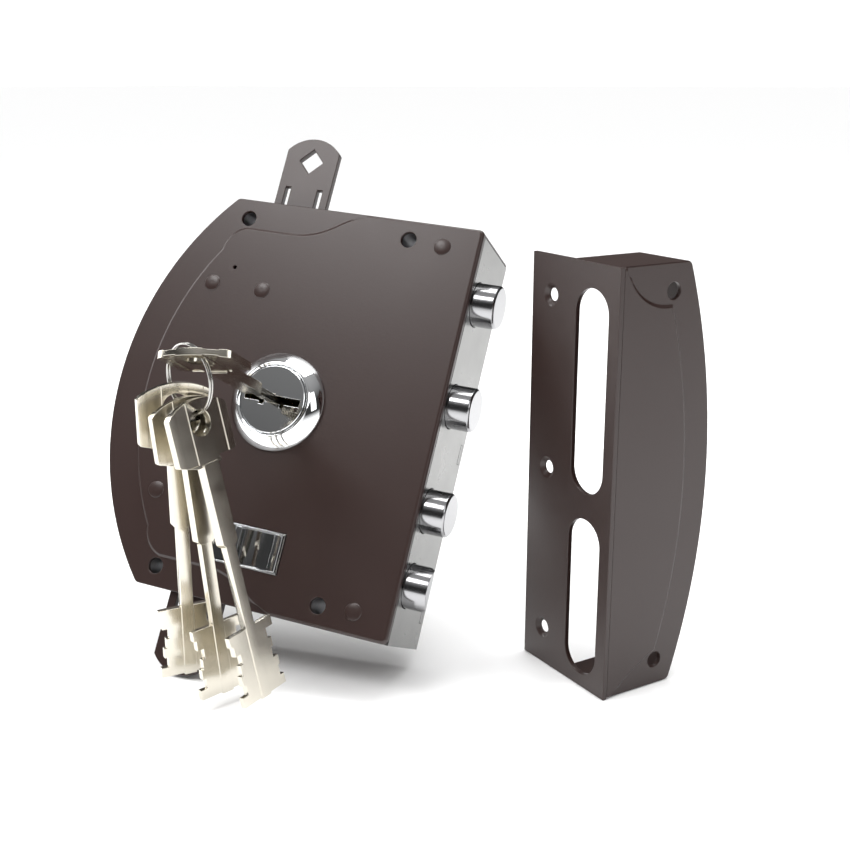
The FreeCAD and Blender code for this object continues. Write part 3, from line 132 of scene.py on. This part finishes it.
def painted(name, colour, roughness, grain):
    """Baked enamel on steel: a dark satin coat with a faint grain."""
    material, tree, shader = new_material(name, colour)
    shader.inputs["Coat Weight"].default_value = 0.12
    shader.inputs["Coat Roughness"].default_value = 0.22
    shader.inputs["Specular IOR Level"].default_value = 0.5
    add_bump(tree, shader, add_noise(tree, ENAMEL_GRAIN, 3), grain, ENAMEL_GRAIN_DEEP)
    clouds = add_noise(tree, ENAMEL_CLOUDS, 2)
    vary_roughness(tree, shader, clouds, roughness - ENAMEL_SMOOTHER, roughness + ENAMEL_ROUGHER)
    return material


def metal(name, colour, low, high, scale=60, stretch=(1, 1, 1), grain=0.0):
    """Bare or plated metal; its roughness varies between low and high."""
    material, tree, shader = new_material(name, colour)
    shader.inputs["Metallic"].default_value = 1
    noise = add_noise(tree, scale, 3, stretch)
    vary_roughness(tree, shader, noise, low, high)
    if grain:
        add_bump(tree, shader, noise, grain, METAL_GRAIN_DEEP)
    return material


BROWN = painted("brown_enamel", (0.025, 0.0125, 0.0105), 0.36, 0.35)
CHROME = metal("polished_chrome", (0.80, 0.81, 0.82), 0.03, 0.09)
BOLT = metal("ground_chrome", (0.40, 0.40, 0.41), 0.12, 0.20, 260, (1, 8, 8), 0.1)
NICKEL = metal("nickel_plate", (0.66, 0.625, 0.545), 0.14, 0.26, 120, grain=0.08)
RING = metal("ring_wire", (0.45, 0.44, 0.42), 0.10, 0.20, 120)
ZINC = metal("zinc_plate", (0.245, 0.245, 0.24), 0.22, 0.36, 90, grain=0.15)
STEEL = metal("dark_steel", (0.42, 0.42, 0.43), 0.3, 0.45)
SPRING = metal("spring_steel", (0.35, 0.35, 0.36), 0.22, 0.34)
BRASS = metal("brass", (0.75, 0.56, 0.27), 0.22, 0.34)


def numbered(stem, count):
    return ["%s_%d" % (stem, index + 1) for index in range(count)]


# every other piece is plain steel
FINISHES = (
    (BROWN, ["front_cover", "keeper_plate", "keeper_cover", "strap_rivets", "strip_rivets",
             "upper_rod_lug", "lower_rod_lug"]),
    (BOLT, numbered("deadbolt", 3) + ["latch_bolt"]),
    (CHROME, ["rosette", "keyway_disc", "thumb_slide", "thumb_bezel"]),
    (NICKEL, ["inserted_key"] + numbered("hanging_key", 3)),
    (RING, ["key_ring"]),
    (ZINC, ["bolt_guide_plate", "back_plate"]),
    (SPRING, ["latch_spring"] + numbered("lever_spring", 4)),
    (BRASS, numbered("lever", 4) + ["disc_retainer", "rosette_nut", "rear_keyway_disc",
                                    "rear_disc_collar"]),
)
finish_of = {name: material for material, names in FINISHES for name in names}


def dress(piece, name):
    piece.data.materials.clear()
    piece.data.materials.append(finish_of.get(name, STEEL))


for name, node in nodes.items():
    dress(node, name)

# ---------------------------------------------------------------- places

RECLINE = math.radians(27)
ROLL = math.radians(5.3)
LOCK = Matrix.Rotation(-RECLINE, 4, "X") @ Matrix.Rotation(ROLL, 4, "Y")
FACE = 41.0

KEEPER_ACROSS, KEEPER_NEAR = 141.3, -48.2
KEEPER_YAW = math.radians(50)
KEEPER = (Matrix.Translation(Vector((KEEPER_ACROSS, KEEPER_NEAR, cad_box[0].z / MM)))
          @ Matrix.Rotation(KEEPER_YAW, 4, "Z"))

# TIP_OUT is the level of the inserted key's tip; the ring goes through the hole in its bow
KEY_LONG = 117.5
TIP_OUT = 3.2
BOW_TWIST = math.radians(-10)
HOLE_OUT = KEY_LONG - 9.0
TIP = Matrix.Translation(Vector((0, -TIP_OUT * math.cos(RECLINE), TIP_OUT * math.sin(RECLINE))))

RING_RADIUS = 13.0
RING_FACING = math.radians(-25)
RING_ACROSS, RING_IN, RING_DROP = -6.2, 2.925, 8.911
RING_SPOT = Vector((RING_ACROSS, RING_IN - (HOLE_OUT + TIP_OUT) * math.cos(RECLINE),
                    (HOLE_OUT + TIP_OUT) * math.sin(RECLINE) - RING_DROP))

# of the first hanging key, and what each further key adds
HANG_SWING, HANG_SWING_STEP = -41, 32
HANG_FACING, HANG_FACING_STEP = 48, 13
HANG_LEAN_STEP = 6
HANG_ASIDE = 1.0
HANG_DROPS = (1.9, 3.2, 3.5)


def hanging_place(index):
    """Where a hanging key's tip stands; its bow points up along its own -Y."""
    swing = math.radians(HANG_SWING + HANG_SWING_STEP * index)
    facing = math.radians(HANG_FACING + HANG_FACING_STEP * index)
    lean = math.radians(HANG_LEAN_STEP * index)
    out = RING_RADIUS * math.sin(swing)
    across = RING_SPOT.x + out * math.cos(RING_FACING) - HANG_ASIDE * math.cos(facing)
    near = RING_SPOT.y + out * math.sin(RING_FACING) - HANG_ASIDE * math.sin(facing)
    up = RING_SPOT.z - RING_RADIUS * math.cos(swing) - HANG_DROPS[index]
    spot = Vector((across + HOLE_OUT * math.sin(lean), near, up - HOLE_OUT * math.cos(lean)))
    return (Matrix.Translation(spot) @ Matrix.Rotation(-lean, 4, "Y")
            @ Matrix.Rotation(facing, 4, "Z") @ Matrix.Rotation(-math.pi / 2, 4, "X"))


def in_metres(place):
    return Matrix.Translation(place.translation * MM) @ place.to_3x3().to_4x4()


# ---------------------------------------------------------------- pieces

JOIN_WITHIN = 2e-6
FLAT_WITHIN = math.radians(0.6)


def stand_for(piece, name):
    """Dresses a finished piece and lets it take the place of a CAD node."""
    dress(piece, name)
    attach(piece, body_of(nodes[name])[0])
    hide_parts(name)


def new_piece(name, mesh):
    piece = bpy.data.objects.new(name, mesh)
    bpy.context.scene.collection.objects.link(piece)
    return piece


def clean_copy(name):
    """A copy of the CAD node's mesh with its flat faces joined up."""
    mesh = nodes[name].data.copy()
    form = bmesh.new()
    form.from_mesh(mesh)
    bmesh.ops.remove_doubles(form, verts=form.verts, dist=JOIN_WITHIN)
    bmesh.ops.dissolve_limit(form, angle_limit=FLAT_WITHIN, verts=form.verts, edges=form.edges)
    bmesh.ops.recalc_face_normals(form, faces=form.faces)
    form.to_mesh(mesh)
    form.free()
    return mesh


def break_edges(piece, width, segments, angle):
    """Rounds every edge sharper than angle, in degrees; flat faces stay flat in the light."""
    for face in piece.data.polygons:
        face.use_smooth = True
    edge = piece.modifiers.new("edge", "BEVEL")
    edge.width = width * MM
    edge.segments = segments
    edge.limit_method = "ANGLE"
    edge.angle_limit = math.radians(angle)
    edge.use_clamp_overlap = False
    shade = piece.modifiers.new("shade", "WEIGHTED_NORMAL")
    shade.mode = "FACE_AREA"
    shade.weight = 100
    shade.keep_sharp = True


def softened(name, width, segments=2, angle=32, mesh=None):
    """The form of a CAD node with its edges broken as on a stamped or plated piece."""
    piece = new_piece(name + "_finished", mesh or clean_copy(name))
    break_edges(piece, width, segments, angle)
    stand_for(piece, name)


STEP_HIGH, STEP_RUN = 0.8, 0.9
LEVEL_WITHIN = 0.02
UPRIGHT_WITHIN = 0.1


def pressed(name, place, top, ends):
    """The mesh of a CAD node with the slope that sheet takes at the step of a pressed field.

    The foot of the step moves out by STEP_RUN, but not where it runs into the edge beyond the
    heights in ends. top is the level of the field.
    """
    mesh = clean_copy(name)
    inverse = in_metres(place).inverted()
    axis = in_metres(place).to_3x3() @ Vector((0, -1, 0))
    foot = top - STEP_HIGH

    def spot(vertex):
        return inverse @ vertex.co / MM

    form = bmesh.new()
    form.from_mesh(mesh)
    form.normal_update()
    shifts = {}
    for face in form.faces:
        levels = [-spot(vertex).y for vertex in face.verts]
        if abs(face.normal.dot(axis)) > UPRIGHT_WITHIN:
            continue
        if max(levels) > top + LEVEL_WITHIN or min(levels) < foot - LEVEL_WITHIN:
            continue
        for vertex in face.verts:
            if abs(-spot(vertex).y - foot) < LEVEL_WITHIN and ends[0] < spot(vertex).z < ends[1]:
                shifts[vertex] = shifts.get(vertex, Vector()) + face.normal
    for vertex, shift in shifts.items():
        vertex.co += shift.normalized() * STEP_RUN * MM
    form.to_mesh(mesh)
    form.free()
    return mesh


# pressed and folded steel
softened("front_cover", 0.3, 3, mesh=pressed("front_cover", LOCK, FACE, (-82, 82)))
softened("keeper_cover", 0.3, 3, mesh=pressed("keeper_cover", KEEPER, 0, (4, 166)))
softened("keeper_plate", 0.25)
softened("upper_rod_lug", 0.3)
softened("lower_rod_lug", 0.3)

# the strip's upper end is drawn up at the door side, to close the corner against the cover
STRIP_END, STRIP_DEEP, STRIP_RAISE = 77, 1, 5
strip = clean_copy("bolt_guide_plate")
for vertex in strip.vertices:
    spot = in_metres(LOCK).inverted() @ vertex.co / MM
    if spot.z > STRIP_END and abs(spot.y) < STRIP_DEEP:
        vertex.co += in_metres(LOCK).to_3x3() @ Vector((0, 0, STRIP_RAISE * MM))
softened("bolt_guide_plate", 0.2, mesh=strip)

# plated pieces
softened("thumb_slide", 0.25)
softened("thumb_bezel", 0.15)
for name in numbered("deadbolt", 3) + ["latch_bolt"]:
    softened(name, 0.25, 2, 40)

# keys: two sunk panels on each face of the bow, one on either side of its middle
BOW_FOOT = KEY_LONG - 25.0 + 2.4
BOW_HALF = 1.4
PANEL_NEAR, PANEL_FAR, PANEL_DEEP = 5.2, 10.9, 0.4
CUT_PAST, CUT_OUT = 1, 3


def box_mesh(low, high, place):
    mesh = bpy.data.meshes.new("cutter")
    form = bmesh.new()
    bmesh.ops.create_cube(form, size=1)
    bmesh.ops.scale(form, vec=Vector(high) - Vector(low), verts=form.verts)
    bmesh.ops.translate(form, vec=(Vector(low) + Vector(high)) / 2, verts=form.verts)
    bmesh.ops.scale(form, vec=(MM, MM, MM), verts=form.verts)
    form.to_mesh(mesh)
    form.free()
    mesh.transform(in_metres(place))
    return mesh


def carve(piece, cutters):
    """Cuts the given meshes out of a piece, and leaves plain mesh."""
    tools = []
    for mesh in cutters:
        tool = new_piece("cutter", mesh)
        tools.append(tool)
        cut = piece.modifiers.new("cut", "BOOLEAN")
        cut.operation = "DIFFERENCE"
        cut.object = tool
        cut.solver = "EXACT"
    bpy.context.view_layer.update()
    evaluated = piece.evaluated_get(bpy.context.evaluated_depsgraph_get())
    result = bpy.data.meshes.new_from_object(evaluated)
    piece.modifiers.clear()
    piece.data = result
    for tool in tools:
        bpy.data.objects.remove(tool)


def finished_key(name, place, twist=0.0):
    piece = new_piece(name + "_finished", clean_copy(name))
    bow = place @ Matrix.Rotation(twist, 4, "Y")
    cutters = []
    for side in (1, -1):
        left, right = sorted((side * PANEL_NEAR, side * PANEL_FAR))
        for face in (1, -1):
            back, front = sorted((face * (BOW_HALF - PANEL_DEEP), face * CUT_OUT))
            cutters.append(box_mesh((left, -KEY_LONG - CUT_PAST, back),
                                    (right, CUT_PAST - BOW_FOOT, front), bow))
    carve(piece, cutters)
    break_edges(piece, 0.16, 2, 30)
    stand_for(piece, name)


finished_key("inserted_key", TIP @ LOCK, BOW_TWIST)
for index, name in enumerate(numbered("hanging_key", 3)):
    finished_key(name, hanging_place(index))

# split ring: two turns of wire side by side, and the place where one passes into the other
WIRE_RADIUS = 0.5
WIRE_THIN = 0.9
PASS_FROM, PASS_LONG = 0.9, 0.2
RING_STEPS, WIRE_SIDES = 160, 12


def ring_mesh():
    form = bmesh.new()
    rings = []
    for step in range(RING_STEPS + 1):
        turn = 2 * step / RING_STEPS
        shift = min(max((turn - PASS_FROM) / PASS_LONG, 0), 1)
        shift = shift * shift * (3 - 2 * shift)
        angle = math.tau * turn - math.pi / 2
        out = Vector((math.cos(angle), 0, math.sin(angle)))
        spine = out * RING_RADIUS + Vector((0, WIRE_RADIUS * (2 * shift - 1), 0))
        ring = []
        for side in range(WIRE_SIDES):
            around = math.tau * side / WIRE_SIDES
            way = out * math.cos(around) + Vector((0, 1, 0)) * math.sin(around)
            ring.append(form.verts.new((spine + way * WIRE_RADIUS * WIRE_THIN) * MM))
        rings.append(ring)
    for one, other in zip(rings, rings[1:]):
        for side in range(WIRE_SIDES):
            after = (side + 1) % WIRE_SIDES
            form.faces.new((one[side], one[after], other[after], other[side]))
    form.faces.new(rings[0])
    form.faces.new(rings[-1])
    bmesh.ops.recalc_face_normals(form, faces=form.faces)
    mesh = bpy.data.meshes.new("key_ring_finished")
    form.to_mesh(mesh)
    form.free()
    mesh.transform(Matrix.Translation(RING_SPOT * MM) @ Matrix.Rotation(RING_FACING, 4, "Z"))
    for face in mesh.polygons:
        face.use_smooth = True
    return mesh


stand_for(new_piece("key_ring_finished", ring_mesh()), "key_ring")

# rosette: its stem goes through the cover, its rim bulges out and falls to the lip round the disc
TURNED_STEPS = 128
TOP = FACE + 6.4
FOOT = FACE - 5
LIP_FOOT = TOP - 1.4
STEM, BORE, LIP = 17.8, 16.3, 14.6
BAND = (20.7, FACE + 1)
BULGE = (18.8, FACE + 3.6)
SHOULDER = (16.2, TOP - 0.5)
TURN_IN = (15.8, TOP - 0.12)
CREST = (15.3, TOP)


def arc_points(start, via, end, count):
    """Points of the arc through three points, without its start."""
    (ax, ay), (bx, by), (cx, cy) = start, via, end
    a, b, c = (x * x + y * y for x, y in (start, via, end))
    base = 2 * (ax * (by - cy) + bx * (cy - ay) + cx * (ay - by))
    mx = (a * (by - cy) + b * (cy - ay) + c * (ay - by)) / base
    my = (a * (cx - bx) + b * (ax - cx) + c * (bx - ax)) / base
    radius = math.hypot(ax - mx, ay - my)
    first, middle, last = (math.atan2(y - my, x - mx) for x, y in (start, via, end))
    span = (last - first) % math.tau
    if (middle - first) % math.tau > span:
        span -= math.tau
    angles = [first + span * step / count for step in range(1, count + 1)]
    return [(mx + radius * math.cos(angle), my + radius * math.sin(angle)) for angle in angles]


def turned(name, profile):
    """A turned piece about the keyway's axis; the profile's points are (radius, level)."""
    form = bmesh.new()
    rings = []
    for radius, level in profile:
        angles = [math.tau * step / TURNED_STEPS for step in range(TURNED_STEPS)]
        rings.append([form.verts.new(Vector((radius * math.cos(angle), -level,
                                             radius * math.sin(angle))) * MM)
                      for angle in angles])
    for lower, upper in zip(rings, rings[1:] + rings[:1]):
        for step in range(TURNED_STEPS):
            after = (step + 1) % TURNED_STEPS
            form.faces.new((lower[step], lower[after], upper[after], upper[step]))
    bmesh.ops.recalc_face_normals(form, faces=form.faces)
    mesh = bpy.data.meshes.new(name + "_finished")
    form.to_mesh(mesh)
    form.free()
    mesh.transform(in_metres(LOCK))
    piece = new_piece(name + "_finished", mesh)
    break_edges(piece, 0.12, 2, 30)
    stand_for(piece, name)


rim = arc_points(BAND, BULGE, SHOULDER, 14) + arc_points(SHOULDER, TURN_IN, CREST, 5)
turned("rosette", [(STEM, FOOT), (STEM, FACE), (BAND[0], FACE), BAND] + rim
       + [(LIP, TOP - 0.6), (LIP, LIP_FOOT), (BORE, LIP_FOOT), (BORE, FOOT)])
softened("keyway_disc", 0.15)

# ---------------------------------------------------------------- stage

FLOOR_SIZE, FLOOR_BACK, FLOOR_BELOW = 60.0, 20, 0.0002

# name, place, what it points at, size and power
LIGHTS = (
    ("top_box", (0.1, 0.3, 1.2), (0.05, 0, 0), (0.9, 0.6), 10),
    ("front_box", (-0.50, -0.66, 1.10), (-0.05, 0, 0.05), (0.6, 0.35), 7),
    ("left_box", (-1.1, 0.1, 0.45), (0, 0, 0), (0.4, 0.8), 5.5),
    ("right_box", (1.2, -0.5, 0.6), (0.1, 0, 0), (0.4, 0.8), 2.5),
)
SKY_POWER = 2.9
SKY_SPREAD = math.radians(100)
SKY_TILT = (math.radians(8), math.radians(-6), 0)

# height in the room, from straight down at 0 to straight up at 1, and brightness
ROOM = ((0.0, 0.6), (0.51, 0.6), (0.55, 0.05), (0.72, 0.04), (0.84, 0.3), (1.0, 0.5))
BACKDROP = 1.3


def add_floor():
    material, _, shader = new_material("pale_floor", (0.95, 0.95, 0.95))
    shader.inputs["Roughness"].default_value = 0.55
    shader.inputs["Specular IOR Level"].default_value = 0.2
    half = FLOOR_SIZE / 2
    corners = [(-half, -half, 0), (half, -half, 0), (half, half, 0), (-half, half, 0)]
    mesh = bpy.data.meshes.new("floor")
    mesh.from_pydata(corners, [], [(0, 1, 2, 3)])
    floor = new_piece("floor", mesh)
    floor.location = (0, FLOOR_BACK, cad_box[0].z - FLOOR_BELOW)
    floor.data.materials.append(material)


def add_light(name, spot, aim, size, power):
    light = bpy.data.lights.new(name, "AREA")
    light.shape = "RECTANGLE"
    light.size, light.size_y = size
    light.energy = power
    lamp = new_piece(name, light)
    lamp.location = spot
    lamp.rotation_euler = (Vector(aim) - Vector(spot)).to_track_quat("-Z", "Y").to_euler()


def add_sky():
    """Soft light from above that no metal mirrors."""
    light = bpy.data.lights.new("sky_box", "SUN")
    light.energy = SKY_POWER
    light.angle = SKY_SPREAD
    lamp = new_piece("sky_box", light)
    lamp.rotation_euler = SKY_TILT
    lamp.visible_glossy = False


def studio_world():
    """White to the camera; to all else a room bright low down and overhead, and dark between."""
    world = bpy.data.worlds.new("studio")
    bpy.context.scene.world = world
    world.use_nodes = True
    tree = world.node_tree
    tree.nodes.clear()
    place = tree.nodes.new("ShaderNodeTexCoord")
    split = tree.nodes.new("ShaderNodeSeparateXYZ")
    spread = tree.nodes.new("ShaderNodeMapRange")
    spread.inputs["From Min"].default_value = -1
    ramp = tree.nodes.new("ShaderNodeValToRGB")
    stops = ramp.color_ramp.elements
    for index, (height, grey) in enumerate(ROOM):
        stop = stops[index] if index < 2 else stops.new(height)
        stop.position = height
        stop.color = (grey, grey, grey, 1)
    room = tree.nodes.new("ShaderNodeBackground")
    backdrop = tree.nodes.new("ShaderNodeBackground")
    backdrop.inputs["Color"].default_value = (1, 1, 1, 1)
    backdrop.inputs["Strength"].default_value = BACKDROP
    rays = tree.nodes.new("ShaderNodeLightPath")
    mix = tree.nodes.new("ShaderNodeMixShader")
    result = tree.nodes.new("ShaderNodeOutputWorld")
    tree.links.new(place.outputs["Generated"], split.inputs["Vector"])
    tree.links.new(split.outputs["Z"], spread.inputs["Value"])
    tree.links.new(spread.outputs["Result"], ramp.inputs["Fac"])
    tree.links.new(ramp.outputs["Color"], room.inputs["Color"])
    tree.links.new(rays.outputs["Is Camera Ray"], mix.inputs["Fac"])
    tree.links.new(room.outputs["Background"], mix.inputs[1])
    tree.links.new(backdrop.outputs["Background"], mix.inputs[2])
    tree.links.new(mix.outputs["Shader"], result.inputs["Surface"])


add_floor()
for light in LIGHTS:
    add_light(*light)
add_sky()
studio_world()
bpy.context.scene.view_settings.view_transform = "Standard"

# ---------------------------------------------------------------- camera

CAMERA_SPOT = (0.2138, -0.4793, 0.1464)
CAMERA_WAY = (-0.3085, 0.9117, -0.2713)
LENS, SENSOR, NEAREST = 51.8, 36, 0.01

view = bpy.data.cameras.new("camera")
view.sensor_width = SENSOR
view.lens = LENS
view.clip_start = NEAREST
camera = new_piece("camera", view)
camera.location = CAMERA_SPOT
camera.rotation_euler = Vector(CAMERA_WAY).to_track_quat("-Z", "Y").to_euler()
bpy.context.scene.camera = camera
